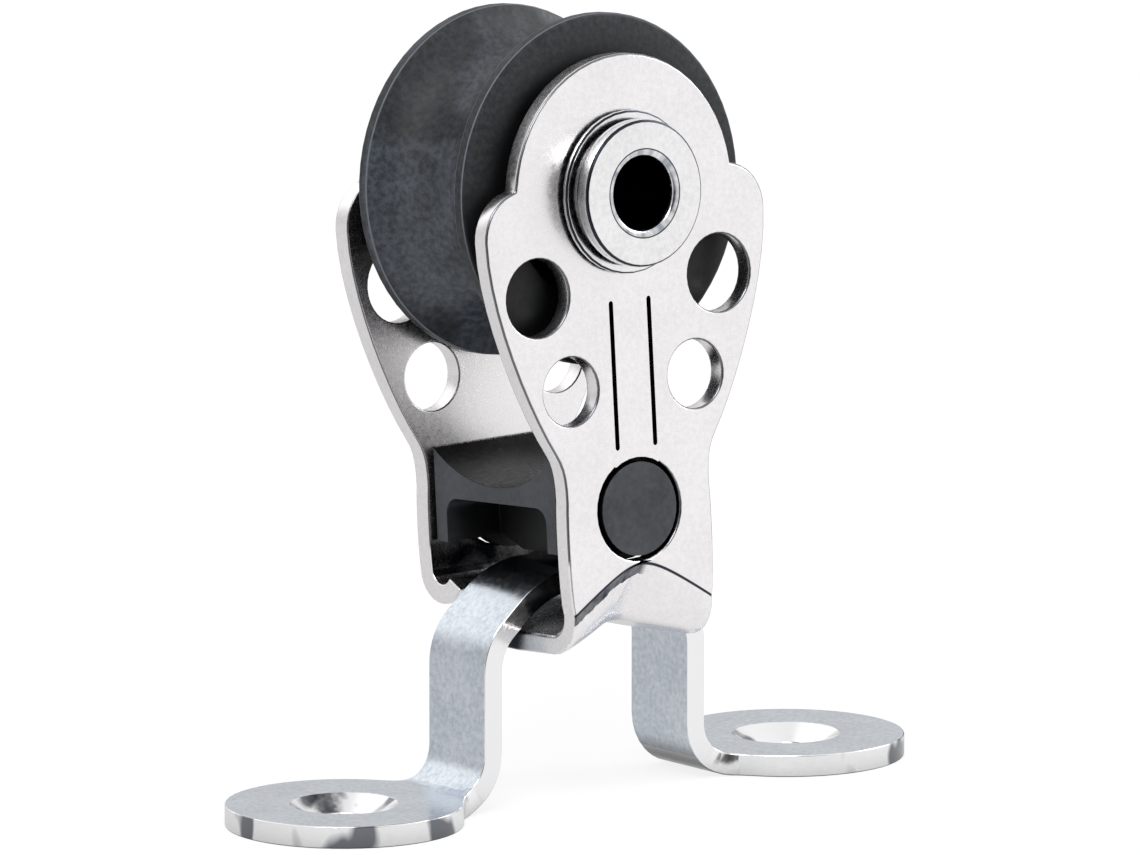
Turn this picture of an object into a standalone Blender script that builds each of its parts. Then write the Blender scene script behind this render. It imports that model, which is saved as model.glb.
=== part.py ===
"""Small ball-bearing pulley block that stands on a bent two-footed deck strap.

Units are metres, Z is up and the feet stand on z = 0. X runs along the line of the two feet, and
Y runs along the axle, with the front cheek at -Y. The block rocks a little on the crown of the
strap, and at rest it leans back against the end of that play.
"""

import math

import bmesh
import bpy
from mathutils import Matrix, Vector

MM = 0.001

# Base strap: one flat blank with two round ends, bent up into legs, slopes and a crown
STRAP_THICKNESS = 1.4 * MM
STRAP_WIDTH = 5.6 * MM
LEG_SPREAD = 16.2 * MM  # between the middles of the two legs
SHOULDER_HEIGHT = 10.4 * MM  # where leg and slope lines meet, at mid thickness
CROWN_HEIGHT = 14.7 * MM  # top of the crown above the deck
CROWN_FLAT = 7.6 * MM  # between the corners of the crown, at mid thickness
FOOT_BEND_RADIUS = 2.9 * MM  # bend radii, all at mid thickness
SHOULDER_BEND_RADIUS = 3.5 * MM
CROWN_BEND_RADIUS = 6.3 * MM
FOOT_DIAMETER = 14.9 * MM
FOOT_SPACING = 35.4 * MM  # between the two screw holes
NECK_FILLET = 3.0 * MM
SCREW_HOLE_DIAMETER = 3.7 * MM
COUNTERSINK_DIAMETER = 6.9 * MM
COUNTERSINK_DEPTH = 1.05 * MM

# Block: heights of the post and the axle
POST_RISE = 3.7 * MM  # middle of the post bosses above the top of the crown
AXLE_RISE = 19.9 * MM  # axle above the post bosses

# Cheeks. Drops are measured down from the axle, and outs from the middle of the cheek
CHEEK_THICKNESS = 1.25 * MM
CHEEK_GAP = 12.7 * MM  # between the inner faces of the cheeks
HEAD_RADIUS = 8.6 * MM
LOBE_RADIUS = 3.0 * MM
LOBE_OUT = 8.1 * MM
LOBE_DROP = 2.1 * MM
LOBE_FLANK = 4.4 * MM  # how far the flank runs on nearly upright below a lobe
NECK_FLARE = 0.65 * MM  # the neck is this much wider than the waist, on each side
NECK_RISE = 3.0 * MM  # neck above the top of the waist
NECK_EASE = 3.6 * MM  # length of the concave run into the neck
NECK_LEAN = 33.5  # degrees away from upright at the neck
WAIST_WIDTH = 11.4 * MM
WAIST_DROP = 18.9 * MM
WAIST_BULGE = 0.12 * MM  # the cheek swells by this much below the waist, on each side
TUCK = 0.9 * MM  # height over which the lower corners draw in to the fold
UPPER_HOLE_DIAMETER = 4.9 * MM
UPPER_HOLE_OUT = 7.2 * MM
UPPER_HOLE_DROP = 5.9 * MM
LOWER_HOLE_DIAMETER = 4.3 * MM
LOWER_HOLE_OUT = 4.95 * MM
LOWER_HOLE_DROP = 12.0 * MM
GROOVE_LINE_WIDTH = 0.34 * MM  # two plain lines stamped into the front cheek
GROOVE_LINE_DEPTH = 0.25 * MM
GROOVE_LINE_OUT = 1.5 * MM
GROOVE_LINE_TOP = 6.7 * MM
GROOVE_LINE_BOTTOM = 16.1 * MM

# Hook: the lower edge of the front cheek creases and folds in under the crown, along an arched line
HOOK_APEX_RISE = 0.25 * MM  # crease above the top of the crown, in the middle
HOOK_SLOPE_SHARE = 0.81  # slope of the arched crease as a share of the slope of the strap
HOOK_ARCH_ROUNDING = 1.8 * MM
HOOK_WIDTH = 11.0 * MM
HOOK_CREASE = 34.0  # degrees away from upright just below the crease, fading out to both ends
HOOK_BEND_RADIUS = 2.4 * MM  # outside of the bend
HOOK_FLOOR_DROP = 2.3 * MM  # underside of the hook below the underside of the crown, in the middle
HOOK_FLOOR_SHARE = 0.5  # slope of that underside as a share of the slope of the crease
HOOK_REACH = 9.7 * MM  # tip from the outer face of the front cheek

# Lip: the lower edge of the rear cheek curls in and up
LIP_DROP = 0.5 * MM  # start of the curl below the top of the crown
LIP_TURN = 150.0  # degrees
LIP_ROOM = 0.85 * MM  # between the lip and the edge of the strap

# Post between the cheeks. Rises are measured from the top of the crown
POST_BOSS_DIAMETER = 5.9 * MM
POST_TOP_RISE = 7.2 * MM
SADDLE_DEPTH = 2.1 * MM
POST_FOOT_RISE = 1.3 * MM
TUNNEL_ROOF_RISE = 4.1 * MM
TUNNEL_SIDE_ROOM = 2.2 * MM  # on each side of the strap
TUNNEL_CORNER = 1.0 * MM
RIB_THICKNESS = 2.4 * MM
SKIRT_DIAMETER = 6.6 * MM  # rounded skirt on the inside of the cheek, around the lower half of a boss
SKIRT_THICKNESS = 0.8 * MM

# Sheave and its two rows of balls
SHEAVE_DIAMETER = 22.0 * MM
SHEAVE_SIDE_ROOM = 0.7 * MM  # between sheave and cheek
RIM_INSET = 0.4 * MM  # rims from the sides of the hub
RIM_LAND = 0.9 * MM  # width of each rim
HUB_WALL = 1.4 * MM  # from the outer race to the root of the groove
BALL_DIAMETER = 2.0 * MM
BALLS_PER_ROW = 14
BALL_SPACING = 0.356 * MM  # between neighbours in a row
ROW_GAP = 0.3 * MM
RIM_SOFTENING = 0.12 * MM
RACE_LIP = 0.7 * MM  # how far the lips stand in from the outer race

# Hollow axle rivet, its collars and the washers beside the balls
RIVET_BORE = 4.5 * MM
RIVET_WALL = 0.65 * MM
RIVET_HEAD_DIAMETER = 9.2 * MM
RIVET_HEAD_THICKNESS = 1.2 * MM
RIVET_NECK_DIAMETER = 8.2 * MM  # undercut on the inner side of a head
RIVET_NECK_LENGTH = 0.2 * MM
RIVET_CHAMFER = 0.5 * MM
COLLAR_DIAMETER = 10.2 * MM
COLLAR_THICKNESS = 0.4 * MM
THRUST_WASHER_THICKNESS = 0.6 * MM

CLEARANCE = 0.3 * MM  # between neighbours
SEAT_CLEARANCE = 0.22 * MM  # between the stacked pieces under the rivet heads
BALL_CLEARANCE = 0.25 * MM
LEAN = 4.4  # degrees that the block leans back at rest, which is one end of its play
EPSILON = 0.5 * MM  # how far a cutter runs past the face that it opens

CROWN_MIDDLE = CROWN_HEIGHT - STRAP_THICKNESS / 2
POST_HEIGHT = CROWN_HEIGHT + POST_RISE
AXLE_HEIGHT = POST_HEIGHT + AXLE_RISE
LEAN_ROOM = STRAP_WIDTH / 2 * math.sin(math.radians(LEAN))
CHEEK_INNER = CHEEK_GAP / 2
CHEEK_OUTER = CHEEK_INNER + CHEEK_THICKNESS
RIVET_RADIUS = RIVET_BORE / 2 + RIVET_WALL
BALL_CIRCLE_RADIUS = BALLS_PER_ROW * (BALL_DIAMETER + BALL_SPACING) / (2 * math.pi)
INNER_RACE_RADIUS = BALL_CIRCLE_RADIUS - BALL_DIAMETER / 2 - BALL_CLEARANCE
OUTER_RACE_RADIUS = BALL_CIRCLE_RADIUS + BALL_DIAMETER / 2 + BALL_CLEARANCE
ROW_SPACING = BALL_DIAMETER + ROW_GAP


def clear_scene():
    for old in list(bpy.data.objects):
        bpy.data.objects.remove(old, do_unlink=True)


def make_material(name, colour, metallic, roughness):
    material = bpy.data.materials.new(name)
    material.use_nodes = True
    shader = material.node_tree.nodes["Principled BSDF"]
    shader.inputs["Base Color"].default_value = (*colour, 1.0)
    shader.inputs["Metallic"].default_value = metallic
    shader.inputs["Roughness"].default_value = roughness
    return material


def make_empty(name, location, rotation_x=0.0, parent=None):
    empty = bpy.data.objects.new(name, None)
    empty.empty_display_size = 5 * MM
    empty.location = location
    empty.rotation_euler = (rotation_x, 0.0, 0.0)
    empty.parent = parent
    bpy.context.scene.collection.objects.link(empty)
    return empty


def make_object(name, mesh, material=None, parent=None, location=(0.0, 0.0, 0.0)):
    part = bpy.data.objects.new(name, mesh)
    part.location = location
    part.parent = parent
    if material:
        mesh.materials.append(material)
    bpy.context.scene.collection.objects.link(part)
    return part


def finish_mesh(bm, name, smooth_angle=35.0):
    """Turn a bmesh into a mesh with outward faces, smooth across shallow edges only."""
    bmesh.ops.recalc_face_normals(bm, faces=bm.faces)
    mesh = bpy.data.meshes.new(name)
    bm.to_mesh(mesh)
    bm.free()
    mesh.shade_smooth()
    mesh.set_sharp_from_angle(angle=math.radians(smooth_angle))
    return mesh


def extruded(outline, low, high, to_point, name):
    """Prism on a closed 2D outline. to_point(a, b, depth) gives the 3D place of an outline point."""
    bm = bmesh.new()
    ends = [[bm.verts.new(to_point(a, b, depth)) for a, b in outline] for depth in (low, high)]
    bm.faces.new(ends[0])
    bm.faces.new(ends[1])
    count = len(outline)
    for i in range(count):
        j = (i + 1) % count
        bm.faces.new((ends[0][i], ends[0][j], ends[1][j], ends[1][i]))
    return finish_mesh(bm, name)


def revolved(profile, segments, to_point, name):
    """Ring or spindle from a closed profile of (radius, along) points, turned about its axis."""
    bm = bmesh.new()
    rings = []
    for i in range(segments):
        angle = 2 * math.pi * i / segments
        rings.append([bm.verts.new(to_point(radius, angle, along)) for radius, along in profile])
    count = len(profile)
    for i in range(segments):
        ring, following = rings[i], rings[(i + 1) % segments]
        for j in range(count):
            k = (j + 1) % count
            bm.faces.new((ring[j], ring[k], following[k], following[j]))
    return finish_mesh(bm, name)


def around_y(radius, angle, along):
    return Vector((radius * math.cos(angle), along, radius * math.sin(angle)))


def around_z(radius, angle, along):
    return Vector((radius * math.cos(angle), radius * math.sin(angle), along))


def boolean(part, cutter, operation):
    """Apply a union or a cut and remove the helper."""
    modifier = part.modifiers.new(operation.lower(), "BOOLEAN")
    modifier.operation = operation
    modifier.solver = "EXACT"
    modifier.object = cutter
    graph = bpy.context.evaluated_depsgraph_get()
    result = bpy.data.meshes.new_from_object(part.evaluated_get(graph))
    part.modifiers.clear()
    material = part.data.materials[0] if part.data.materials else None
    old = part.data
    part.data = result
    bpy.data.meshes.remove(old)
    bpy.data.objects.remove(cutter, do_unlink=True)
    if material and not part.data.materials:
        part.data.materials.append(material)
    part.data.shade_smooth()
    part.data.set_sharp_from_angle(angle=math.radians(35))


def arc(centre, radius, start, end, steps):
    """Points from start to end angle, in degrees, both ends included."""
    points = []
    for i in range(steps + 1):
        angle = math.radians(start + (end - start) * i / steps)
        points.append((centre[0] + radius * math.cos(angle), centre[1] + radius * math.sin(angle)))
    return points


def bezier(p0, p1, p2, p3, steps):
    """Points of a cubic curve, without its first point."""
    points = []
    for i in range(1, steps + 1):
        t = i / steps
        weights = ((1 - t) ** 3, 3 * t * (1 - t) ** 2, 3 * t * t * (1 - t), t**3)
        points.append(tuple(sum(w * p[k] for w, p in zip(weights, (p0, p1, p2, p3))) for k in (0, 1)))
    return points


def strip_pieces(corners, radii):
    """Straight runs and bends of a strip: (start, heading, length, turn), in order."""
    pieces = []
    start = Vector(corners[0])
    for i in range(1, len(corners)):
        corner = Vector(corners[i])
        heading = (corner - Vector(corners[i - 1])).normalized()
        if i == len(corners) - 1:
            pieces.append((start, heading, (corner - start).length, 0.0))
            break
        after = (Vector(corners[i + 1]) - corner).normalized()
        turn = math.atan2(heading.x * after.y - heading.y * after.x, heading.dot(after))
        reach = radii[i - 1] * math.tan(abs(turn) / 2)
        end = corner - heading * reach
        pieces.append((start, heading, (end - start).length, 0.0))
        pieces.append((end, heading, radii[i - 1] * abs(turn), turn))
        start = corner + after * reach
    return pieces


def strip_place(pieces, distance):
    """Point and upward normal at a distance along the strip."""
    for begin, heading, length, turn in pieces:
        if distance <= length:
            break
        distance -= length
    side = Vector((-heading.y, heading.x))
    if not turn:
        return begin + heading * distance, side
    radius = length / turn
    spin = Matrix.Rotation(turn * distance / length, 2)
    centre = begin + side * radius
    return centre + spin @ (begin - centre), spin @ side


def blank_half_width(distance, disc_middle):
    """Half the width of the flat blank: parallel strip, concave fillet, then the round foot."""
    radius = FOOT_DIAMETER / 2
    half_strip = STRAP_WIDTH / 2
    before = disc_middle - distance
    fillet_start = math.sqrt((radius + NECK_FILLET) ** 2 - (half_strip + NECK_FILLET) ** 2)
    touch = fillet_start * radius / (radius + NECK_FILLET)
    if before >= fillet_start:
        return half_strip
    if before > touch:
        return half_strip + NECK_FILLET - math.sqrt(NECK_FILLET**2 - (fillet_start - before) ** 2)
    return math.sqrt(radius**2 - before**2)


def strap_stations(pieces, disc_middle):
    """Distances from the middle of the crown at which the blank gets a cross section."""
    radius = FOOT_DIAMETER / 2
    half_strip = STRAP_WIDTH / 2
    stations = []
    passed = 0.0
    for _, _, length, turn in pieces[:-1]:
        steps = 8 if turn else 1
        stations += [passed + length * i / steps for i in range(steps)]
        passed += length
    stations.append(passed)
    fillet_start = math.sqrt((radius + NECK_FILLET) ** 2 - (half_strip + NECK_FILLET) ** 2)
    touch = fillet_start * radius / (radius + NECK_FILLET)
    stations += [disc_middle - fillet_start + (fillet_start - touch) * i / 6 for i in range(6)]
    first = math.acos(touch / radius)
    steps = 20
    turn = (math.pi - first) / (steps + 0.5)
    stations += [disc_middle - radius * math.cos(first + turn * i) for i in range(steps + 1)]
    return sorted(stations)


def make_strap(material):
    """One flat blank, given its width station by station and laid along the bent centre line."""
    foot_middle = STRAP_THICKNESS / 2
    corners = [(0.0, CROWN_MIDDLE), (CROWN_FLAT / 2, CROWN_MIDDLE), (LEG_SPREAD / 2, SHOULDER_HEIGHT)]
    corners += [(LEG_SPREAD / 2, foot_middle), (FOOT_SPACING / 2 + FOOT_DIAMETER / 2, foot_middle)]
    pieces = strip_pieces(corners, [CROWN_BEND_RADIUS, SHOULDER_BEND_RADIUS, FOOT_BEND_RADIUS])
    disc_middle = sum(piece[2] for piece in pieces) - FOOT_DIAMETER / 2
    right = strap_stations(pieces, disc_middle)
    bm = bmesh.new()
    rows = []
    for side, distances in ((-1, right[:0:-1]), (1, right)):
        for distance in distances:
            point, normal = strip_place(pieces, distance)
            half = blank_half_width(distance, disc_middle)
            over = point + normal * STRAP_THICKNESS / 2
            under = point - normal * STRAP_THICKNESS / 2
            ring = ((over, -half), (over, half), (under, half), (under, -half))
            rows.append([bm.verts.new((side * p.x, y, p.y)) for p, y in ring])
    for row, following in zip(rows, rows[1:]):
        for i in range(4):
            j = (i + 1) % 4
            bm.faces.new((row[i], row[j], following[j], following[i]))
    bm.faces.new(rows[0])
    bm.faces.new(rows[-1])
    strap = make_object("base_strap", finish_mesh(bm, "base_strap"), material)
    for side in (-1, 1):
        boolean(strap, screw_hole_cutter(side), "DIFFERENCE")
    return strap


def screw_hole_cutter(side):
    hole = SCREW_HOLE_DIAMETER / 2
    sink = COUNTERSINK_DIAMETER / 2
    top = STRAP_THICKNESS
    slope = (sink - hole) / COUNTERSINK_DEPTH
    profile = [(0.0, top + EPSILON), (sink + slope * EPSILON, top + EPSILON)]
    profile += [(hole, top - COUNTERSINK_DEPTH), (hole, -EPSILON), (0.0, -EPSILON)]
    return spindle_cutter(profile, 32, around_z, (side * FOOT_SPACING / 2, 0.0, 0.0))


def spindle_cutter(profile, segments, to_point, location, parent=None):
    """Solid turned cutter, from a profile whose first and last points lie on the axis."""
    bm = bmesh.new()
    first = bm.verts.new(to_point(0.0, 0.0, profile[0][1]))
    last = bm.verts.new(to_point(0.0, 0.0, profile[-1][1]))
    rings = []
    for radius, along in profile[1:-1]:
        angles = [2 * math.pi * i / segments for i in range(segments)]
        rings.append([bm.verts.new(to_point(radius, angle, along)) for angle in angles])
    for i in range(segments):
        j = (i + 1) % segments
        bm.faces.new((first, rings[0][j], rings[0][i]))
        bm.faces.new((last, rings[-1][i], rings[-1][j]))
        for ring, following in zip(rings, rings[1:]):
            bm.faces.new((ring[i], ring[j], following[j], following[i]))
    cutter = make_object("cutter", finish_mesh(bm, "cutter"), None, parent, location)
    cutter.hide_render = True
    cutter.display_type = "WIRE"
    return cutter


def cheek_side():
    """Right edge of a cheek from the top of the head down to the waist, as (x, z) points."""
    axle = (0.0, AXLE_HEIGHT)
    lobe = (LOBE_OUT, AXLE_HEIGHT - LOBE_DROP)
    # The head circle and the lobe circle cross here, seen from the axle
    apart = math.hypot(LOBE_OUT, LOBE_DROP)
    towards = math.degrees(math.atan2(-LOBE_DROP, LOBE_OUT))
    reach = (apart**2 + HEAD_RADIUS**2 - LOBE_RADIUS**2) / (2 * apart)
    notch = towards + math.degrees(math.acos(reach / HEAD_RADIUS))
    crossing = arc(axle, HEAD_RADIUS, notch, notch, 1)[0]
    lobe_start = math.degrees(math.atan2(crossing[1] - lobe[1], crossing[0] - lobe[0]))
    points = arc(axle, HEAD_RADIUS, 90, notch, 12)
    points += arc(lobe, LOBE_RADIUS, lobe_start, 0.0, 9)[1:]
    start = points[-1]
    waist = (WAIST_WIDTH / 2, AXLE_HEIGHT - WAIST_DROP)
    neck = (waist[0] + NECK_FLARE, waist[1] + NECK_RISE)
    lean_in = -Vector((math.sin(math.radians(NECK_LEAN)), math.cos(math.radians(NECK_LEAN))))
    into_neck = tuple(Vector(neck) - lean_in * NECK_EASE)
    points += bezier(start, (start[0], start[1] - LOBE_FLANK), into_neck, neck, 10)
    past_neck = tuple(Vector(neck) + lean_in * NECK_EASE / 4)
    points += bezier(neck, past_neck, (waist[0], waist[1] + NECK_RISE / 2), waist, 5)
    return points


def hook_drop(x):
    """How far the arched crease of the front cheek has fallen at x from its middle."""
    strap_slope = (CROWN_MIDDLE - SHOULDER_HEIGHT) / ((LEG_SPREAD - CROWN_FLAT) / 2)
    return HOOK_SLOPE_SHARE * strap_slope * (math.hypot(x, HOOK_ARCH_ROUNDING) - HOOK_ARCH_ROUNDING)


def fold_arc(start, heading_angle, radius, end_angle, steps):
    """Outer and inner points of a bend, as (inward, drop). Angles are away from straight down."""
    centre = Vector(start) + radius * Vector((math.cos(heading_angle), -math.sin(heading_angle)))
    pairs = []
    for i in range(steps + 1):
        angle = heading_angle + (end_angle - heading_angle) * i / steps
        out = Vector((-math.cos(angle), math.sin(angle)))
        pairs.append((tuple(centre + out * radius), tuple(centre + out * (radius - CHEEK_THICKNESS))))
    return pairs


def hook_section(x):
    """Points of the hook past its crease, at x: (outer, inner) pairs of (inward, z)."""
    fade = 1 - hook_drop(x) / hook_drop(HOOK_WIDTH / 2)
    crease = math.radians(HOOK_CREASE) * fade
    height = CROWN_HEIGHT + HOOK_APEX_RISE - hook_drop(x)
    floor = CROWN_HEIGHT - STRAP_THICKNESS - HOOK_FLOOR_DROP - HOOK_FLOOR_SHARE * hook_drop(x)
    run = (height - floor - HOOK_BEND_RADIUS * (1 - math.sin(crease))) / math.cos(crease)
    start = (run * math.sin(crease), run * math.cos(crease))
    pairs = fold_arc(start, crease, HOOK_BEND_RADIUS, math.pi / 2, 7)
    section = [((outer[0], height - outer[1]), (inner[0], height - inner[1])) for outer, inner in pairs]
    bend_end = pairs[-1][0][0]
    for share in (0.5, 0.85, 1.0):
        inward = bend_end + (HOOK_REACH - bend_end) * share
        section.append(((inward, floor), (inward, floor + CHEEK_THICKNESS)))
    return section


def lip_section(x):
    """Points of the curled lip of the rear cheek, the same at every x."""
    turn = math.radians(LIP_TURN)
    height = CROWN_HEIGHT - LIP_DROP
    radius = (CHEEK_OUTER - STRAP_WIDTH / 2 - LIP_ROOM) / (1 - math.cos(turn))
    pairs = fold_arc((0.0, 0.0), 0.0, radius, turn, 12)[1:]
    return [((outer[0], height - outer[1]), (inner[0], height - inner[1])) for outer, inner in pairs]


def make_cheek(name, side, fold, section_at, widths, marks, material, parent):
    """Pressed cheek. side is -1 at the front. marks are the outlines of lines stamped into it."""
    edge = cheek_side()
    waist = edge[-1]
    swell = waist[0] + WAIST_BULGE
    corner = bezier(waist, (swell, waist[1] - TUCK), (swell, fold[0][1] + TUCK), fold[0], 7)
    right = edge + corner[:-1]
    left = [(-x, z) for x, z in reversed(right[1:])]
    first = len(right)
    last = first + len(fold) - 1

    def place(x, z, inward):
        return Vector((x, side * (CHEEK_OUTER - inward), z - CROWN_MIDDLE))

    bm = bmesh.new()
    faces = []
    for inward in (0.0, CHEEK_THICKNESS):
        outlines = [right + fold + left] + cheek_holes()
        outlines += [] if inward else marks
        loops = [[bm.verts.new(place(x, z, inward)) for x, z in outline] for outline in outlines]
        pairs = [(loop[i - 1], loop[i]) for loop in loops for i in range(len(loop))]
        edges = [bm.edges.new(pair) for pair in pairs]
        bmesh.ops.triangle_fill(bm, use_beauty=True, use_dissolve=False, edges=edges)
        faces.append(loops)
    outer, inner = faces
    join_loops(bm, outer[0], inner[0], [i for i in range(len(outer[0])) if not first <= i < last])
    for front, back in zip(outer[1:], inner[1:]):
        join_loops(bm, front, back, range(len(front)))
    for loop, mark in zip(outer[len(inner) :], marks):
        floor = [bm.verts.new(place(x, z, GROOVE_LINE_DEPTH)) for x, z in mark]
        bm.faces.new(floor)
        join_loops(bm, loop, floor, range(len(mark)))
    rows = [(outer[0][first : last + 1], inner[0][first : last + 1])]
    for k, width in enumerate(widths):
        row = ([], [])
        for x, _ in fold:
            for face, (inward, z) in zip(row, section_at(x * width)[k]):
                face.append(bm.verts.new(place(x * width, z, inward)))
        rows.append(row)
    add_fold(bm, rows)
    return make_object(name, finish_mesh(bm, name), material, parent)


def join_loops(bm, first, second, indices):
    """Wall of quads between two matching loops, at the given places."""
    for i in indices:
        j = (i + 1) % len(first)
        bm.faces.new((first[i], first[j], second[j], second[i]))


def add_fold(bm, rows):
    """Skin both faces of the folded part of a cheek, then close its ends and its tip."""
    count = len(rows[0][0])
    for row, following in zip(rows, rows[1:]):
        for k in (0, 1):
            for i in range(count - 1):
                bm.faces.new((row[k][i], row[k][i + 1], following[k][i + 1], following[k][i]))
        for i in (0, count - 1):
            bm.faces.new((row[0][i], following[0][i], following[1][i], row[1][i]))
    tip = rows[-1]
    for i in range(count - 1):
        bm.faces.new((tip[0][i], tip[0][i + 1], tip[1][i + 1], tip[1][i]))


def groove_lines():
    """Outlines of the two plain lines, round at both ends."""
    radius = GROOVE_LINE_WIDTH / 2
    lines = []
    for side in (-1, 1):
        x = side * GROOVE_LINE_OUT
        line = arc((x, AXLE_HEIGHT - GROOVE_LINE_TOP - radius), radius, 0, 180, 4)
        lines.append(line + arc((x, AXLE_HEIGHT - GROOVE_LINE_BOTTOM + radius), radius, 180, 360, 4))
    return lines


def cheek_holes():
    """Closed loops of the axle hole, the post hole and the four lightening holes."""
    post_radius = POST_BOSS_DIAMETER / 2 + CLEARANCE
    holes = [((0.0, AXLE_HEIGHT), RIVET_RADIUS + CLEARANCE), ((0.0, POST_HEIGHT), post_radius)]
    for side in (-1, 1):
        holes.append(((side * UPPER_HOLE_OUT, AXLE_HEIGHT - UPPER_HOLE_DROP), UPPER_HOLE_DIAMETER / 2))
        holes.append(((side * LOWER_HOLE_OUT, AXLE_HEIGHT - LOWER_HOLE_DROP), LOWER_HOLE_DIAMETER / 2))
    return [arc(centre, radius, 0, 360, 32)[:-1] for centre, radius in holes]


def fold_line(half_width, height, drop_at, steps):
    """Fold line from right to left, as (x, z) points."""
    points = []
    for i in range(steps + 1):
        x = half_width * (1 - 2 * i / steps)
        points.append((x, height - drop_at(x)))
    return points


def make_cheeks(material, parent):
    crease = fold_line(HOOK_WIDTH / 2, CROWN_HEIGHT + HOOK_APEX_RISE, hook_drop, 18)
    widths = [1.0] * 9 + [0.95, 0.84]
    make_cheek("front_cheek", -1, crease, hook_section, widths, groove_lines(), material, parent)
    curl = fold_line(WAIST_WIDTH / 2, CROWN_HEIGHT - LIP_DROP, lambda x: 0.0, 2)
    make_cheek("rear_cheek", 1, curl, lip_section, [1.0] * 12, [], material, parent)


def make_post(material, parent):
    """Moulded post: saddle on top, tunnel over the crown, a rib on the crown, and two end bosses."""
    half_y = CHEEK_INNER - CLEARANCE
    half_x = WAIST_WIDTH / 2 - CLEARANCE
    foot = CROWN_HEIGHT + POST_FOOT_RISE
    roof = CROWN_HEIGHT + TUNNEL_ROOF_RISE
    saddle_radius = (half_y**2 + SADDLE_DEPTH**2) / (2 * SADDLE_DEPTH)
    sweep = math.degrees(math.asin(half_y / saddle_radius))
    saddle_centre = (0.0, CROWN_HEIGHT + POST_TOP_RISE - SADDLE_DEPTH + saddle_radius)
    top = arc(saddle_centre, saddle_radius, 270 - sweep, 270 + sweep, 16)
    half_tunnel = STRAP_WIDTH / 2 + TUNNEL_SIDE_ROOM
    corner = (half_tunnel - TUNNEL_CORNER, roof - TUNNEL_CORNER)
    tunnel = [(half_tunnel, foot)] + arc(corner, TUNNEL_CORNER, 0, 90, 5)
    tunnel += [(-y, z) for y, z in reversed(tunnel)]
    outline = top + [(half_y, foot)] + tunnel + [(-half_y, foot)]

    def place(y, z, x):
        return Vector((x, y, z - CROWN_MIDDLE))

    def across(x, z, y):
        return Vector((x, y, z - CROWN_MIDDLE))

    post = make_object("head_post", extruded(outline, -half_x, half_x, place, "head_post"), material, parent)
    overlap = CLEARANCE
    rib_y = half_tunnel + overlap
    rib_top = roof + overlap
    rib_bottom = CROWN_HEIGHT + CLEARANCE + LEAN_ROOM
    half_strap = STRAP_WIDTH / 2
    rib_outline = [(rib_y, rib_top), (rib_y, foot + overlap), (half_strap, rib_bottom)]
    rib_outline += [(-y, z) for y, z in reversed(rib_outline)]
    rib = extruded(rib_outline, -RIB_THICKNESS / 2, RIB_THICKNESS / 2, place, "rib")
    boolean(post, make_object("rib", rib, None, parent), "UNION")
    radius = POST_BOSS_DIAMETER / 2
    for side in (-1, 1):
        start, end = side * (half_y - overlap), side * CHEEK_OUTER
        ring = [(0.0, start), (radius, start), (radius, end), (0.0, end)]
        boss = spindle_cutter(ring, 36, around_y, (0.0, 0.0, POST_HEIGHT - CROWN_MIDDLE), parent)
        boolean(post, boss, "UNION")
        near = half_y - SEAT_CLEARANCE / 4
        skirt_outline = arc((0.0, POST_HEIGHT), SKIRT_DIAMETER / 2, 180, 360, 18)
        skirt = extruded(skirt_outline, side * near, side * (near - SKIRT_THICKNESS), across, "skirt")
        boolean(post, make_object("skirt", skirt, None, parent), "UNION")
    return post


def collar_near():
    """Distance from the middle of the block to the inner side of a collar."""
    return CHEEK_OUTER + SEAT_CLEARANCE


def make_rivet(material, parent):
    """Hollow rivet with a turned head at each end and a softened bore."""
    bore = RIVET_BORE / 2
    head_in = collar_near() + COLLAR_THICKNESS + SEAT_CLEARANCE
    head_out = head_in + RIVET_HEAD_THICKNESS
    head_radius = RIVET_HEAD_DIAMETER / 2
    neck = RIVET_NECK_DIAMETER / 2
    neck_end = head_in + RIVET_NECK_LENGTH
    soften = RIVET_CHAMFER / 4
    half = [(RIVET_RADIUS, head_in), (neck, head_in), (neck, neck_end)]
    half += [(head_radius, neck_end), (head_radius, head_out - soften)]
    half += [(head_radius - soften, head_out), (bore + RIVET_CHAMFER, head_out)]
    half += [(bore + soften, head_out - soften), (bore, head_out - RIVET_CHAMFER)]
    profile = half + [(radius, -along) for radius, along in reversed(half)]
    return make_object("axle_rivet", revolved(profile, 48, around_y, "axle_rivet"), material, parent)


def make_ring(name, inner, outer, near, far, soften, material, parent):
    """Flat ring about the axle. near and far are its sides, and far carries the softened edge."""
    step = math.copysign(soften, far - near)
    profile = [(inner, near), (outer, near), (outer, far - step), (outer - soften, far), (inner, far)]
    return make_object(name, revolved(profile, 36, around_y, name), material, parent)


def make_inner_race(material, parent):
    half = CHEEK_INNER - CLEARANCE
    inner = RIVET_RADIUS + CLEARANCE
    profile = [(inner, -half), (INNER_RACE_RADIUS, -half), (INNER_RACE_RADIUS, half), (inner, half)]
    return make_object("inner_race", revolved(profile, 32, around_y, "inner_race"), material, parent)


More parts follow.
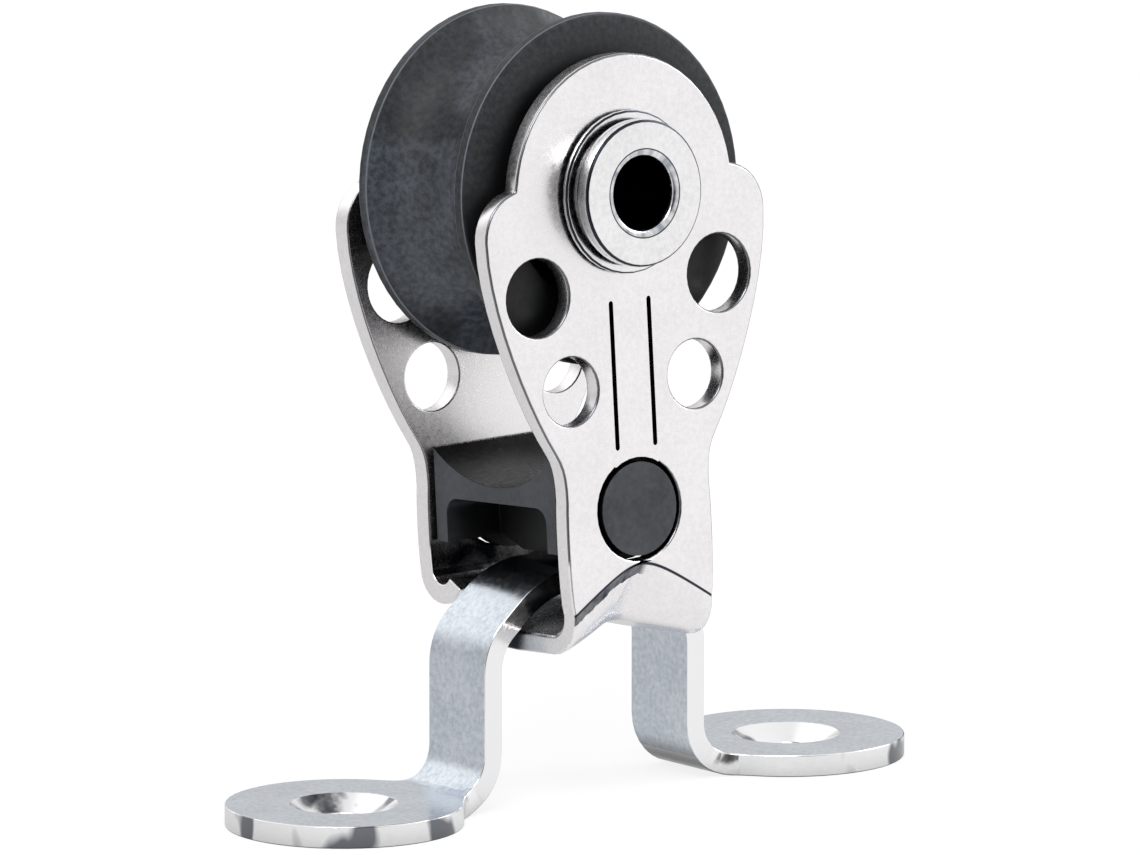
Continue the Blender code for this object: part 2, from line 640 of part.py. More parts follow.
def sheave_profile():
    """Groove, rims, sides and ball races of the sheave, as closed (radius, along) points."""
    rim = SHEAVE_DIAMETER / 2
    half_side = CHEEK_INNER - SHEAVE_SIDE_ROOM
    half_rim = half_side - RIM_INSET
    half_groove = half_rim - RIM_LAND
    soften = RIM_SOFTENING
    root = OUTER_RACE_RADIUS + HUB_WALL
    depth = rim - soften - root
    groove_radius = (half_groove**2 + depth**2) / (2 * depth)
    sweep = math.degrees(math.asin(half_groove / groove_radius))
    groove = arc((0.0, root + groove_radius), groove_radius, 270 - sweep, 270 + sweep, 12)
    lip_near = ROW_SPACING / 2 + BALL_DIAMETER / 2 + BALL_CLEARANCE * 2
    lip_far = lip_near + RACE_LIP
    lip = OUTER_RACE_RADIUS - RACE_LIP
    recess = OUTER_RACE_RADIUS + RACE_LIP / 2
    side = [(rim, half_groove + soften), (rim, half_rim - soften), (rim - 2 * soften, half_rim)]
    side += [(root, half_side), (recess + RACE_LIP / 2, half_side), (recess, half_side - RACE_LIP / 2)]
    side += [(recess, lip_far), (lip, lip_far), (lip, lip_near), (OUTER_RACE_RADIUS, lip_near)]
    profile = [(radius, along) for along, radius in groove] + side
    return profile + [(radius, -along) for radius, along in reversed(side)]


def make_ball(name, row, index, material, parent):
    bm = bmesh.new()
    bmesh.ops.create_uvsphere(bm, u_segments=8, v_segments=5, radius=BALL_DIAMETER / 2)
    angle = 2 * math.pi * (index + 0.5 * (row > 0)) / BALLS_PER_ROW
    location = around_y(BALL_CIRCLE_RADIUS, angle, row * ROW_SPACING / 2)
    return make_object(name, finish_mesh(bm, name, 80.0), material, parent, location)


def make_axle_group(steel, moulded, slippery, axle):
    make_rivet(steel, axle)
    make_inner_race(steel, axle)
    make_object("sheave", revolved(sheave_profile(), 64, around_y, "sheave"), moulded, axle)
    race_side = CHEEK_INNER - CLEARANCE
    for side, place in ((-1, "front"), (1, "rear")):
        near = side * collar_near()
        far = near + side * COLLAR_THICKNESS
        shape = (RIVET_RADIUS + CLEARANCE, COLLAR_DIAMETER / 2, near, far, COLLAR_THICKNESS / 4)
        make_ring(place + "_washer", *shape, steel, axle)
        near = side * (race_side - THRUST_WASHER_THICKNESS)
        shape = (INNER_RACE_RADIUS + CLEARANCE, OUTER_RACE_RADIUS - CLEARANCE, near, side * race_side)
        make_ring(place + "_thrust_washer", *shape, THRUST_WASHER_THICKNESS / 6, slippery, axle)
        for index in range(BALLS_PER_ROW):
            make_ball(f"{place}_ball_{index + 1:02d}", side, index, slippery, axle)


def centre_over_origin(roots):
    """Slide everything along Y until the bounding box stands centred over the origin."""
    bpy.context.view_layer.update()
    parts = [part for part in bpy.context.scene.objects if part.type == "MESH"]
    depths = [(part.matrix_world @ vertex.co).y for part in parts for vertex in part.data.vertices]
    for root in roots:
        root.location.y -= (min(depths) + max(depths)) / 2


def build():
    clear_scene()
    strap_steel = make_material("strap_steel", (0.62, 0.65, 0.68), 1.0, 0.32)
    cheek_steel = make_material("cheek_steel", (0.86, 0.85, 0.86), 1.0, 0.28)
    polished = make_material("polished_steel", (0.90, 0.90, 0.91), 1.0, 0.12)
    moulded = make_material("sheave_plastic", (0.035, 0.042, 0.05), 0.0, 0.42)
    black = make_material("post_plastic", (0.03, 0.032, 0.036), 0.0, 0.55)
    slippery = make_material("bearing_plastic", (0.75, 0.74, 0.70), 0.0, 0.35)

    strap = make_strap(strap_steel)
    rock_axis = make_empty("rock_axis", (0.0, 0.0, CROWN_MIDDLE), -math.radians(LEAN))
    make_cheeks(cheek_steel, rock_axis)
    make_post(black, rock_axis)
    axle = make_empty("axle", (0.0, 0.0, AXLE_HEIGHT - CROWN_MIDDLE), 0.0, rock_axis)
    make_axle_group(polished, moulded, slippery, axle)
    centre_over_origin((strap, rock_axis))


build()
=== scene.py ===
"""Looks for the small pulley block that stands on a bent deck strap."""

import math

import bpy
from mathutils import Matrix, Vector

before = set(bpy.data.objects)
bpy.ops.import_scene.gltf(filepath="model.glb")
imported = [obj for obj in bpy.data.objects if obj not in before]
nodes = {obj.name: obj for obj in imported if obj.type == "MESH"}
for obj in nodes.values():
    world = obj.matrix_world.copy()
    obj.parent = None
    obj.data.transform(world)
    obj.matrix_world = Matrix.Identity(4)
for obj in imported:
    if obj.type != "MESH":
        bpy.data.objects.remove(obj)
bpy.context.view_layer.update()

MM = 0.001

# Places in the frame
AXLE = Vector((0.0, 0.0, 38.228)) * MM
LEAN = 4.4

# Camera
AIM = Vector((0.25, -1.864, 23.0)) * MM
DISTANCE = 1500 * MM
AZIMUTH = 38.67
ELEVATION = 10.75
LENS = 758.8

# Studio, as gloss sees it: (direction, (cosine, level), (cosine, level)), all multiplied
MIDDLE = Vector((0, 0, 25.0)) * MM  # the floor mirrors the studio as seen from here
STUDIO = [
    ((0.3, -1.0, 0.0), (-0.7, 0.72), (0.3, 1.0)),
    ((0.0, 0.0, 1.0), (-0.4, 0.85), (0.5, 1.0)),
    ((-0.42, -0.9, 0.12), (0.80, 1.0), (0.93, 0.06)),
    ((0.88, 0.45, -0.22), (0.88, 1.0), (0.95, 0.05)),
    ((-0.1, 0.77, 0.63), (0.80, 1.0), (0.93, 1.7)),
]
FLOOR_REACH = 6.0
FLOOR_COLOUR = (0.9, 0.9, 0.9, 1)
FLOOR_GLOW = 0.85

# Materials
STEEL_IN_SHADE = (0.012, 0.013, 0.016)
SHADE_REACH = 6.0 * MM
GROOVE_SHADE_REACH = 4.0 * MM
GRAIN_DEPTH = 0.01 * MM
WAVE_DEPTH = 0.05 * MM
PATCH_DEPTH = 0.06 * MM

# Places on the parts, from the frame's own sizes. Heights are measured from the axle
FOOT_THICKNESS = 1.4 * MM
FOLD_TOP = -22.9 * MM
LINE_OUT = 1.5 * MM
LINE_REACH = 0.2 * MM
LINE_MOUTH = -7.56 * MM
LINE_FLOOR = -7.2 * MM
LINE_TOP = -6.5 * MM
LINE_BOTTOM = -16.3 * MM
LINES_BOX = (2.2 * MM, 21.5 * MM, 32.5 * MM)  # half width, and heights above the floor
CREASE_APEX = -23.35 * MM
CREASE_ROUNDING = 1.8 * MM
CREASE_SLOPE = 0.68
CREASE_SIDE = -5.9 * MM
# Depth of the painted dark reflection below the crease
REFLECTION_BAND_DEPTH = (-0.85 * MM, -0.60 * MM)
BORE_RADIUS = 2.25 * MM
MOUTH_RADIUS = 2.75 * MM
HEAD_RADIUS = 4.6 * MM
RIM_RADIUS = 11.0 * MM
GROOVE_EDGES = (4.3 * MM, 5.0 * MM)
POST_FOOT = -22.3 * MM
CHEEK_INNER = 6.35 * MM
SADDLE_LOW = -19.2 * MM

# Rounds on the corners of the parts
STRAP_ROUND = 0.09 * MM
FRONT_CHEEK_ROUND = 0.20 * MM
REAR_CHEEK_ROUND = 0.12 * MM
POST_ROUND = 0.15 * MM
SHEAVE_ROUND = 0.08 * MM
RIVET_ROUND = 0.13 * MM
RING_ROUND = 0.07 * MM


def add_camera():
    """Long lens at the angle of the photo."""
    azimuth, elevation = math.radians(AZIMUTH), math.radians(ELEVATION)
    flat = math.cos(elevation)
    back = Vector((-math.sin(azimuth) * flat, -math.cos(azimuth) * flat, math.sin(elevation)))
    data = bpy.data.cameras.new("camera")
    data.lens = LENS
    data.sensor_width = 36
    data.clip_start = 0.05
    data.clip_end = 50
    camera = bpy.data.objects.new("camera", data)
    camera.location = AIM + back * DISTANCE
    camera.rotation_mode = "QUATERNION"
    camera.rotation_quaternion = (-back).to_track_quat("-Z", "Y")
    bpy.context.scene.collection.objects.link(camera)
    bpy.context.scene.camera = camera


class Graph:
    """Short hand for building a node material."""

    def __init__(self, name):
        self.material = bpy.data.materials.new(name)
        self.material.use_nodes = True
        self.tree = self.material.node_tree
        self.shader = self.tree.nodes["Principled BSDF"]

    def node(self, kind, **settings):
        made = self.tree.nodes.new(kind)
        for key, value in settings.items():
            setattr(made, key, value)
        return made

    def link(self, source, target):
        self.tree.links.new(source, target)

    def coordinates(self, scale=(1, 1, 1)):
        """Object coordinates of the block: X across, Y along the axle, Z up the cheeks, from the axle."""
        place = self.node("ShaderNodeTexCoord")
        turned = self.node("ShaderNodeMapping", vector_type="TEXTURE")
        turned.inputs["Location"].default_value = AXLE
        turned.inputs["Rotation"].default_value = (-math.radians(LEAN), 0, 0)
        self.link(place.outputs["Object"], turned.inputs["Vector"])
        if scale == (1, 1, 1):
            return turned.outputs["Vector"]
        mapping = self.node("ShaderNodeMapping")
        mapping.inputs["Scale"].default_value = scale
        self.link(turned.outputs["Vector"], mapping.inputs["Vector"])
        return mapping.outputs["Vector"]

    def maths(self, operation, first, second=0.0):
        made = self.node("ShaderNodeMath", operation=operation)
        for socket, value in zip(made.inputs, (first, second)):
            if isinstance(value, bpy.types.NodeSocket):
                self.link(value, socket)
            else:
                socket.default_value = value
        return made.outputs[0]

    def split(self, vector):
        made = self.node("ShaderNodeSeparateXYZ")
        self.link(vector, made.inputs[0])
        return made.outputs

    def openness(self, distance):
        """0 where other surfaces stand close around, 1 in the open."""
        made = self.node("ShaderNodeAmbientOcclusion", samples=12)
        made.inputs["Distance"].default_value = distance
        return made.outputs["AO"]

    def facing(self, axis):
        """How squarely the surface faces along or against an axis of the frame, from 0 to 1."""
        place = self.node("ShaderNodeTexCoord")
        return self.maths("ABSOLUTE", self.split(place.outputs["Normal"])[axis])

    def band(self, value, low, high, soft):
        """1 between low and high, falling to 0 over the soft width outside."""
        rise = self.span(value, low - soft, low, 0.0, 1.0)
        fall = self.span(value, high, high + soft, 1.0, 0.0)
        return self.maths("MULTIPLY", rise, fall)

    def both(self, *masks):
        product = masks[0]
        for mask in masks[1:]:
            product = self.maths("MULTIPLY", product, mask)
        return product

    def radius(self, vector):
        """Distance from the middle line of the axle."""
        x, _, z = self.split(vector)
        squares = self.maths("ADD", self.maths("MULTIPLY", x, x), self.maths("MULTIPLY", z, z))
        return self.maths("SQRT", squares)

    def noise(self, vector, scale, detail=3.0, roughness=0.5, distortion=0.0):
        made = self.node("ShaderNodeTexNoise")
        made.inputs["Scale"].default_value = scale
        made.inputs["Detail"].default_value = detail
        made.inputs["Roughness"].default_value = roughness
        made.inputs["Distortion"].default_value = distortion
        self.link(vector, made.inputs["Vector"])
        return made.outputs["Fac"]

    def ramp(self, value, stops):
        made = self.node("ShaderNodeValToRGB")
        ramp = made.color_ramp
        while len(ramp.elements) < len(stops):
            ramp.elements.new(0.5)
        for element, (position, colour) in zip(ramp.elements, stops):
            element.position = position
            element.color = (*colour, 1)
        self.link(value, made.inputs["Fac"])
        return made.outputs["Color"]

    def span(self, value, low, high, to_low, to_high):
        made = self.node("ShaderNodeMapRange")
        for key, number in (("From Min", low), ("From Max", high), ("To Min", to_low), ("To Max", to_high)):
            made.inputs[key].default_value = number
        made.clamp = True
        self.link(value, made.inputs["Value"])
        return made.outputs["Result"]

    def mix(self, factor, first, second):
        made = self.node("ShaderNodeMix", data_type="RGBA")
        sockets = (made.inputs["Factor"], made.inputs[6], made.inputs[7])
        for socket, value in zip(sockets, (factor, first, second)):
            if isinstance(value, bpy.types.NodeSocket):
                self.link(value, socket)
            elif isinstance(value, tuple):
                socket.default_value = (*value, 1)
            else:
                socket.default_value = value
        return made.outputs[2]

    def bump(self, height, strength, distance, under=None):
        made = self.node("ShaderNodeBump")
        made.inputs["Strength"].default_value = strength
        made.inputs["Distance"].default_value = distance
        self.link(height, made.inputs["Height"])
        if under:
            self.link(under, made.inputs["Normal"])
        return made.outputs["Normal"]

    def set(self, **values):
        names = {"colour": "Base Color", "roughness": "Roughness", "metallic": "Metallic",
                 "normal": "Normal", "specular": "Specular IOR Level"}
        for key, value in values.items():
            socket = self.shader.inputs[names[key]]
            if isinstance(value, bpy.types.NodeSocket):
                self.link(value, socket)
            elif isinstance(value, tuple):
                socket.default_value = (*value, 1)
            else:
                socket.default_value = value


def steel(name, low, high, roughness, grain, blotch, bump_strength,
          closed=(0.05, 0.30), closed_edge=(0.32, 0.62), marks=()):
    """Satin steel: fine grain, soft blotches, a shallow waviness, and painted shade where it is closed in.

    closed and closed_edge say how closed in a face along Y, and any other, is when fully in painted shade
    and when clear of it.
    marks are functions of (graph, vector) that give a mask and the colour painted there.
    """
    graph = Graph(name)
    vector = graph.coordinates()
    fine = graph.noise(vector, grain, 2.0, 0.6)
    broad = graph.noise(vector, blotch, 4.0, 0.55)
    tone = graph.mix(0.35, fine, broad)
    colour = graph.ramp(tone, [(0.36, low), (0.62, high)])
    for mark in marks:
        mask, painted = mark(graph, vector)
        colour = graph.mix(mask, colour, painted)
    # Painted shade: the steel turns dark where other surfaces stand close around
    openness = graph.openness(SHADE_REACH)
    on_edge = graph.span(openness, *closed_edge, 0.0, 1.0)
    on_face = graph.span(openness, *closed, 0.0, 1.0)
    squarely = graph.span(graph.facing(1), 0.4, 0.8, 0.0, 1.0)
    clear = graph.node("ShaderNodeMix", data_type="FLOAT")
    for socket, value in zip(clear.inputs, (squarely, None, on_edge, on_face)):
        if value:
            graph.link(value, socket)
    colour = graph.mix(clear.outputs[0], STEEL_IN_SHADE, colour)
    graph.set(colour=colour, metallic=1.0)
    graph.set(roughness=graph.span(tone, 0.35, 0.65, roughness[0], roughness[1]))
    wavy = graph.bump(broad, bump_strength * 0.5, WAVE_DEPTH)
    graph.set(normal=graph.bump(fine, bump_strength, GRAIN_DEPTH, wavy))
    return graph.material


def strap_edge_highlight(graph, vector):
    """Bright cut edges of the strap and rims of the feet, a painted highlight."""
    place = graph.node("ShaderNodeTexCoord")
    _, _, height = graph.split(place.outputs["Object"])
    low = graph.maths("LESS_THAN", height, FOOT_THICKNESS * 1.02)
    upright = graph.maths("LESS_THAN", graph.facing(2), 0.85)
    rim_highlight = graph.maths("MULTIPLY", low, upright)
    side = graph.span(graph.facing(1), 0.6, 0.8, 0.0, 1.0)
    return graph.maths("MAXIMUM", rim_highlight, side), (0.93, 0.93, 0.94)


def edge_reflection_streaks(graph, vector):
    """Dark streaks across the cut edges of the strap, painted dark reflections."""
    edge, _ = strap_edge_highlight(graph, vector)
    across = graph.noise(graph.coordinates((1, 1, 0.5)), 330, 1.5, 0.5)
    return graph.both(edge, graph.span(across, 0.57, 0.63, 0.0, 0.85)), (0.06, 0.07, 0.09)


def corner_reflection_line(graph, vector):
    """Thin dark line where the face of a cheek turns into its edge, a painted dark reflection."""
    _, _, z = graph.split(vector)
    corner = graph.band(graph.facing(1), 0.40, 0.86, 0.08)
    above_fold = graph.span(z, FOLD_TOP, FOLD_TOP + 0.4 * MM, 0.0, 0.85)
    return graph.both(corner, above_fold), (0.05, 0.06, 0.08)


def stamped_lines(graph, vector):
    """Dark floors and walls of the two stamped lines."""
    x, y, z = graph.split(vector)
    from_line = graph.maths("ABSOLUTE", graph.maths("SUBTRACT", graph.maths("ABSOLUTE", x), LINE_OUT))
    beside = graph.maths("LESS_THAN", from_line, LINE_REACH)
    sunk = graph.maths("GREATER_THAN", y, LINE_MOUTH)
    outside = graph.maths("LESS_THAN", y, LINE_FLOOR)
    high = graph.maths("LESS_THAN", z, LINE_TOP)
    low = graph.maths("GREATER_THAN", z, LINE_BOTTOM)
    return graph.both(beside, sunk, outside, high, low), (0.012, 0.014, 0.020)


def crease_height(graph, x, z):
    """Height above the arched crease of the front cheek."""
    arm = graph.maths("SQRT", graph.maths("ADD", graph.maths("MULTIPLY", x, x), CREASE_ROUNDING**2))
    drop = graph.maths("MULTIPLY", graph.maths("SUBTRACT", arm, CREASE_ROUNDING), CREASE_SLOPE)
    return graph.maths("ADD", graph.maths("SUBTRACT", z, CREASE_APEX), drop)


def crease_reflection(graph, vector):
    """A dark line along the crease, and a dark band below it on the left, both painted dark reflection."""
    x, y, z = graph.split(vector)
    above = crease_height(graph, x, z)
    on_face = graph.maths("GREATER_THAN", graph.facing(1), 0.45)
    outer = graph.both(graph.maths("LESS_THAN", y, CREASE_SIDE), on_face)
    line = graph.band(above, -0.08 * MM, 0.06 * MM, 0.05 * MM)
    left = graph.span(x, 0.0, 0.5 * MM, 1.0, 0.0)
    uneven = graph.noise(vector, 900, 2.0, 0.6)
    depth = graph.span(uneven, 0.35, 0.65, *REFLECTION_BAND_DEPTH)
    below = graph.maths("GREATER_THAN", above, depth)
    not_above = graph.maths("LESS_THAN", above, 0.0)
    # Painted dark reflection below the crease, on the left
    reflection_band = graph.both(left, below, not_above, graph.span(uneven, 0.3, 0.7, 1.0, 0.75))
    return graph.both(graph.maths("MAXIMUM", line, reflection_band), outer), (0.035, 0.042, 0.055)


def shade_below_post(graph, vector):
    """Painted shade, dark and uneven, on the inner side of a cheek, below the post."""
    _, y, z = graph.split(vector)
    flat = graph.band(graph.maths("ABSOLUTE", y), CHEEK_INNER - 0.1 * MM, CHEEK_INNER + 0.1 * MM, 0.05 * MM)
    inner = graph.both(flat, graph.maths("GREATER_THAN", graph.facing(1), 0.8))
    below = graph.span(z, POST_FOOT - 0.3 * MM, POST_FOOT + 0.5 * MM, 1.0, 0.0)
    uneven = graph.span(graph.noise(vector, 420, 3.0, 0.6, 0.5), 0.40, 0.64, 1.0, 0.82)
    return graph.both(inner, below, uneven), (0.010, 0.012, 0.016)


def bore_shade(graph, vector):
    """Painted shade: black inside the bore of the rivet."""
    return graph.maths("LESS_THAN", graph.radius(vector), BORE_RADIUS + 0.04 * MM), (0.004, 0.004, 0.005)


def mouth_chamfer_reflection(graph, vector):
    """Greyer turned chamfer at the mouth of the bore, a painted reflection with uneven streaks."""
    x, _, z = graph.split(vector)
    angle = graph.maths("ARCTAN2", z, x)
    streak = graph.node("ShaderNodeCombineXYZ")
    graph.link(angle, streak.inputs[0])
    around = graph.noise(streak.outputs[0], 2.2, 2.0, 0.6)
    ring = graph.band(graph.radius(vector), BORE_RADIUS, MOUTH_RADIUS, 0.01 * MM)
    return graph.both(ring, graph.span(around, 0.40, 0.62, 0.1, 0.8)), (0.20, 0.23, 0.28)


def rivet_reflection_lines(graph, vector):
    """Thin dark lines round the head of the rivet and the mouth of its bore, painted dark reflections."""
    radius = graph.radius(vector)
    mouth = graph.band(radius, MOUTH_RADIUS, MOUTH_RADIUS + 0.05 * MM, 0.03 * MM)
    corner = graph.band(graph.facing(1), 0.25, 0.93, 0.05)
    head = graph.both(corner, graph.maths("GREATER_THAN", radius, HEAD_RADIUS - 0.3 * MM))
    return graph.maths("MAXIMUM", mouth, head), (0.030, 0.035, 0.045)


def plastic(name, low, high, roughness, grain, bump_strength, specular=0.5, shaded_saddle=False):
    """Moulded plastic: very fine texture, faint flow marks, and painted shade where it is closed in.

    The saddle switch makes the saddle on top of the post blacker with painted shade, smoother and less
    bright in gloss.
    """
    graph = Graph(name)
    vector = graph.coordinates()
    fine = graph.noise(vector, grain, 3.0, 0.6)
    broad = graph.noise(vector, 180, 3.0, 0.5, 0.6)
    tone = graph.mix(0.6, fine, broad)
    colour = graph.ramp(tone, [(0.35, low), (0.65, high)])
    rough = graph.span(tone, 0.35, 0.65, roughness[0], roughness[1])
    if shaded_saddle:
        saddle = graph.both(graph.span(graph.facing(2), 0.45, 0.6, 0.0, 1.0),
                            graph.maths("GREATER_THAN", graph.split(vector)[2], SADDLE_LOW))
        # Painted shade on the saddle
        colour = graph.mix(saddle, colour, tuple(0.10 * c for c in low))
        rough = graph.maths("SUBTRACT", rough, graph.maths("MULTIPLY", saddle, 0.15))
        specular = graph.span(saddle, 0.0, 1.0, specular, 0.05)
    # Painted shade where other surfaces stand close around
    clear = graph.span(graph.openness(SHADE_REACH), 0.40, 0.90, 0.0, 1.0)
    colour = graph.mix(clear, tuple(0.06 * c for c in low), colour)
    graph.set(colour=colour, metallic=0.0, specular=specular)
    graph.set(roughness=rough)
    graph.set(normal=graph.bump(fine, bump_strength, GRAIN_DEPTH))
    return graph.material


def sheave_plastic():
    """Dark moulding: the groove is rubbed grey in soft patches by the rope, partly wear and partly painted
    sheen, and the sides stay black.
    """
    graph = Graph("sheave_plastic")
    vector = graph.coordinates()
    fine = graph.noise(vector, 2600, 3.0, 0.6)
    patch = graph.noise(vector, 130, 2.5, 0.5, 0.7)
    _, y, _ = graph.split(vector)
    inward = graph.span(graph.maths("ABSOLUTE", y), *GROOVE_EDGES, 1.0, 0.0)
    # Lighter patches in the groove: rope wear and painted sheen
    rubbed_and_sheen = graph.maths("MULTIPLY", inward, graph.span(patch, 0.43, 0.62, 0.0, 1.0))
    dull = graph.ramp(fine, [(0.35, (0.007, 0.008, 0.010)), (0.65, (0.024, 0.027, 0.032))])
    worn_and_sheen = graph.ramp(fine, [(0.35, (0.030, 0.035, 0.044)), (0.65, (0.070, 0.080, 0.096))])
    colour = graph.mix(rubbed_and_sheen, dull, worn_and_sheen)
    # Painted highlight on the outermost rim
    outermost = graph.maths("GREATER_THAN", graph.radius(vector), RIM_RADIUS - 0.08 * MM)
    rim_highlight = graph.both(graph.band(graph.facing(1), 0.35, 0.9, 0.05), outermost)
    colour = graph.mix(rim_highlight, colour, (0.10, 0.11, 0.13))
    # Painted shade where other surfaces stand close around
    clear = graph.span(graph.openness(GROOVE_SHADE_REACH), 0.45, 1.0, 0.0, 1.0)
    graph.set(colour=graph.mix(clear, (0.001, 0.001, 0.0015), colour))
    graph.set(metallic=0.0, specular=0.35)
    graph.set(roughness=graph.span(patch, 0.35, 0.65, 0.55, 0.30))
    soft = graph.bump(patch, 0.25, PATCH_DEPTH)
    graph.set(normal=graph.bump(fine, 0.35, GRAIN_DEPTH, soft))
    return graph.material


def repaint(name, material):
    """Give a part its one material."""
    node = nodes[name]
    node.data.materials.clear()
    node.data.materials.append(material)


def corner_edges(mesh, angle):
    """Edges where faces meet at more than the angle, matched by place because the parts come split."""
    places = [tuple(round(c / (0.001 * MM)) for c in vertex.co) for vertex in mesh.vertices]
    normals = {}
    for face in mesh.polygons:
        for a, b in face.edge_keys:
            normals.setdefault(frozenset((places[a], places[b])), []).append(face.normal.copy())
    limit = math.cos(math.radians(angle))
    found = []
    for edge in mesh.edges:
        around = normals.get(frozenset(places[i] for i in edge.vertices), [])
        if len(around) == 2 and around[0].dot(around[1]) < limit:
            found.append(edge)
    return found


def soften_edges(name, width, segments=3, angle=32, crisp=None, clamp=True):
    """Smooth shading, and a small round on the corners of a part.

    crisp(point) picks corners to keep. clamp makes the whole round smaller where short edges would overlap.
    """
    node = nodes[name]
    mesh = node.data
    custom = mesh.attributes.get("custom_normal")
    if custom:
        mesh.attributes.remove(custom)
    mesh.shade_smooth()
    weights = mesh.attributes.new("bevel_weight_edge", "FLOAT", "EDGE")
    for edge in corner_edges(mesh, angle):
        middle = sum((mesh.vertices[i].co for i in edge.vertices), Vector()) / 2
        if crisp and crisp(middle):
            edge.use_edge_sharp = True
        else:
            weights.data[edge.index].value = 1.0
    weld = node.modifiers.new("weld", "WELD")
    weld.merge_threshold = 0.001 * MM
    flat = node.modifiers.new("flat faces", "DECIMATE")
    flat.decimate_type = "DISSOLVE"
    flat.angle_limit = math.radians(0.3)
    bevel = node.modifiers.new("edge round", "BEVEL")
    bevel.width = width
    bevel.segments = segments
    bevel.limit_method = "WEIGHT"
    bevel.use_clamp_overlap = clamp
    bevel.loop_slide = False
    evened = node.modifiers.new("even shading", "WEIGHTED_NORMAL")
    evened.keep_sharp = True


def studio_level(graph, direction):
    """How bright the studio is along a direction: pale, greyer behind, with a dark card on each side."""
    level = None
    for toward, (first, first_level), (second, second_level) in STUDIO:
        dot = graph.node("ShaderNodeVectorMath", operation="DOT_PRODUCT")
        dot.inputs[1].default_value = Vector(toward).normalized()
        graph.link(direction, dot.inputs[0])
        here = graph.span(dot.outputs["Value"], first, second, first_level, second_level)
        level = graph.maths("MULTIPLY", level, here) if level else here
    return level


def add_stage():
    """White floor with a faint shadow. Gloss sees it as part of the studio."""
    mesh = bpy.data.meshes.new("floor")
    size = FLOOR_REACH
    corners = [(-size, -size, 0), (size, -size, 0), (size, size, 0), (-size, size, 0)]
    mesh.from_pydata(corners, [], [(0, 1, 2, 3)])
    floor = bpy.data.objects.new("floor", mesh)
    bpy.context.scene.collection.objects.link(floor)
    graph = Graph("floor_white")
    tree = graph.tree
    tree.nodes.remove(graph.shader)
    diffuse = graph.node("ShaderNodeBsdfDiffuse")
    diffuse.inputs["Color"].default_value = FLOOR_COLOUR
    place = graph.node("ShaderNodeTexCoord")
    away = graph.node("ShaderNodeVectorMath", operation="SUBTRACT")
    away.inputs[1].default_value = MIDDLE
    graph.link(place.outputs["Object"], away.inputs[0])
    heading = graph.node("ShaderNodeVectorMath", operation="NORMALIZE")
    graph.link(away.outputs[0], heading.inputs[0])
    path = graph.node("ShaderNodeLightPath")
    mirrored = graph.maths("MAXIMUM", path.outputs["Is Glossy Ray"], path.outputs["Is Transmission Ray"])
    shown = graph.maths("MAXIMUM", path.outputs["Is Camera Ray"], mirrored)
    level = graph.maths("MAXIMUM", studio_level(graph, heading.outputs[0]), path.outputs["Is Camera Ray"])
    glow = graph.node("ShaderNodeEmission")
    glow.inputs["Color"].default_value = (1, 1, 1, 1)
    graph.link(level, glow.inputs["Strength"])
    blend = graph.node("ShaderNodeMixShader")
    graph.link(graph.maths("MULTIPLY", shown, FLOOR_GLOW), blend.inputs["Fac"])
    graph.link(diffuse.outputs[0], blend.inputs[1])
    graph.link(glow.outputs[0], blend.inputs[2])
    graph.link(blend.outputs[0], tree.nodes["Material Output"].inputs["Surface"])
    mesh.materials.append(graph.material)


class WorldGraph(Graph):
    """The same short hand for the world's nodes."""

    def __init__(self, name):
        world = bpy.data.worlds.new(name)
        bpy.context.scene.world = world
        world.use_nodes = True
        self.tree = world.node_tree


def add_world():
    """White to the camera, and the studio to all else."""
    graph = WorldGraph("studio")
    place = graph.node("ShaderNodeTexCoord")
    level = studio_level(graph, place.outputs["Generated"])
    path = graph.node("ShaderNodeLightPath")
    shown = graph.maths("MAXIMUM", level, path.outputs["Is Camera Ray"])
    graph.link(shown, graph.tree.nodes["Background"].inputs["Strength"])
    graph.tree.nodes["Background"].inputs["Color"].default_value = (1, 1, 1, 1)


def add_lamp(name, position, target, size, power):
    """Soft rectangular lamp at a position, turned to its target."""
    data = bpy.data.lights.new(name, "AREA")
    data.shape = "RECTANGLE"
    data.size, data.size_y = size
    data.energy = power
    lamp = bpy.data.objects.new(name, data)
    lamp.location = position
    lamp.rotation_mode = "QUATERNION"
    lamp.rotation_quaternion = (Vector(target) - Vector(position)).to_track_quat("-Z", "Y")
    bpy.context.scene.collection.objects.link(lamp)


def near_lines(point):
    """True at the two stamped lines of the front cheek."""
    half_width, low, high = LINES_BOX
    return abs(point.x) < half_width and low < point.z < high


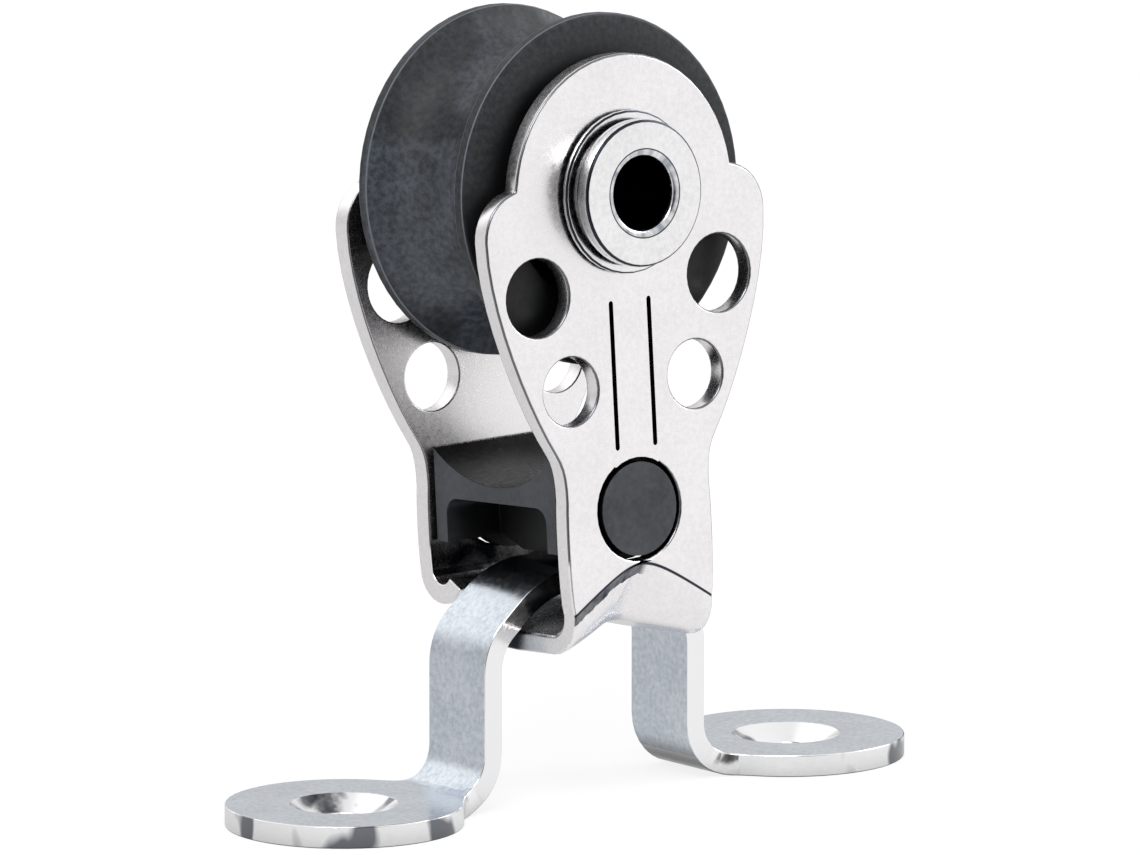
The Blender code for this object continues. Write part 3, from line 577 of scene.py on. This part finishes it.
def paint_parts():
    pale_steel = ((0.86, 0.84, 0.85), (0.94, 0.92, 0.93), (0.22, 0.32), 3000, 300, 0.15)
    front = steel("front_cheek_steel", *pale_steel, marks=(corner_reflection_line, stamped_lines, crease_reflection))
    cheek = steel("cheek_steel", *pale_steel, closed=(0.02, 0.15), marks=(corner_reflection_line, shade_below_post))
    strap = steel("strap_steel", (0.50, 0.55, 0.61), (0.70, 0.74, 0.79), (0.14, 0.26), 3000, 220, 0.2,
                  (0.2, 0.6), (0.2, 0.6), (strap_edge_highlight, edge_reflection_streaks))
    bright = steel("polished_steel", (0.80, 0.79, 0.80), (0.93, 0.92, 0.93), (0.12, 0.22), 2600, 300, 0.1,
                   (0.05, 0.35), (0.05, 0.35), (mouth_chamfer_reflection, rivet_reflection_lines, bore_shade))
    black = plastic("post_plastic", (0.018, 0.020, 0.024), (0.048, 0.052, 0.060), (0.36, 0.50), 2400, 0.4,
                    specular=0.4, shaded_saddle=True)
    pale = plastic("bearing_plastic", (0.60, 0.58, 0.53), (0.74, 0.72, 0.68), (0.22, 0.36), 1500, 0.15)
    repaint("base_strap", strap)
    repaint("front_cheek", front)
    repaint("rear_cheek", cheek)
    for name in ("axle_rivet", "inner_race", "front_washer", "rear_washer"):
        repaint(name, bright)
    repaint("sheave", sheave_plastic())
    repaint("head_post", black)
    for name in nodes:
        if "_ball_" in name or "thrust" in name:
            repaint(name, pale)


def round_parts():
    soften_edges("base_strap", STRAP_ROUND, clamp=False)
    soften_edges("front_cheek", FRONT_CHEEK_ROUND, crisp=near_lines, clamp=False)
    soften_edges("rear_cheek", REAR_CHEEK_ROUND, clamp=False)
    soften_edges("head_post", POST_ROUND)
    soften_edges("sheave", SHEAVE_ROUND, segments=2, angle=40)
    soften_edges("axle_rivet", RIVET_ROUND)
    for name in ("inner_race", "front_washer", "rear_washer"):
        soften_edges(name, RING_ROUND, segments=2)


def main():
    add_camera()
    paint_parts()
    round_parts()
    add_stage()
    add_world()
    add_lamp("key", (-0.5, -0.5, 0.9), (0, 0, 0.02), (0.5, 0.5), 6)
    add_lamp("side", (0.8, -0.3, 0.5), (0, 0, 0.02), (0.4, 0.6), 3)
    bpy.context.scene.view_settings.view_transform = "Standard"


main()
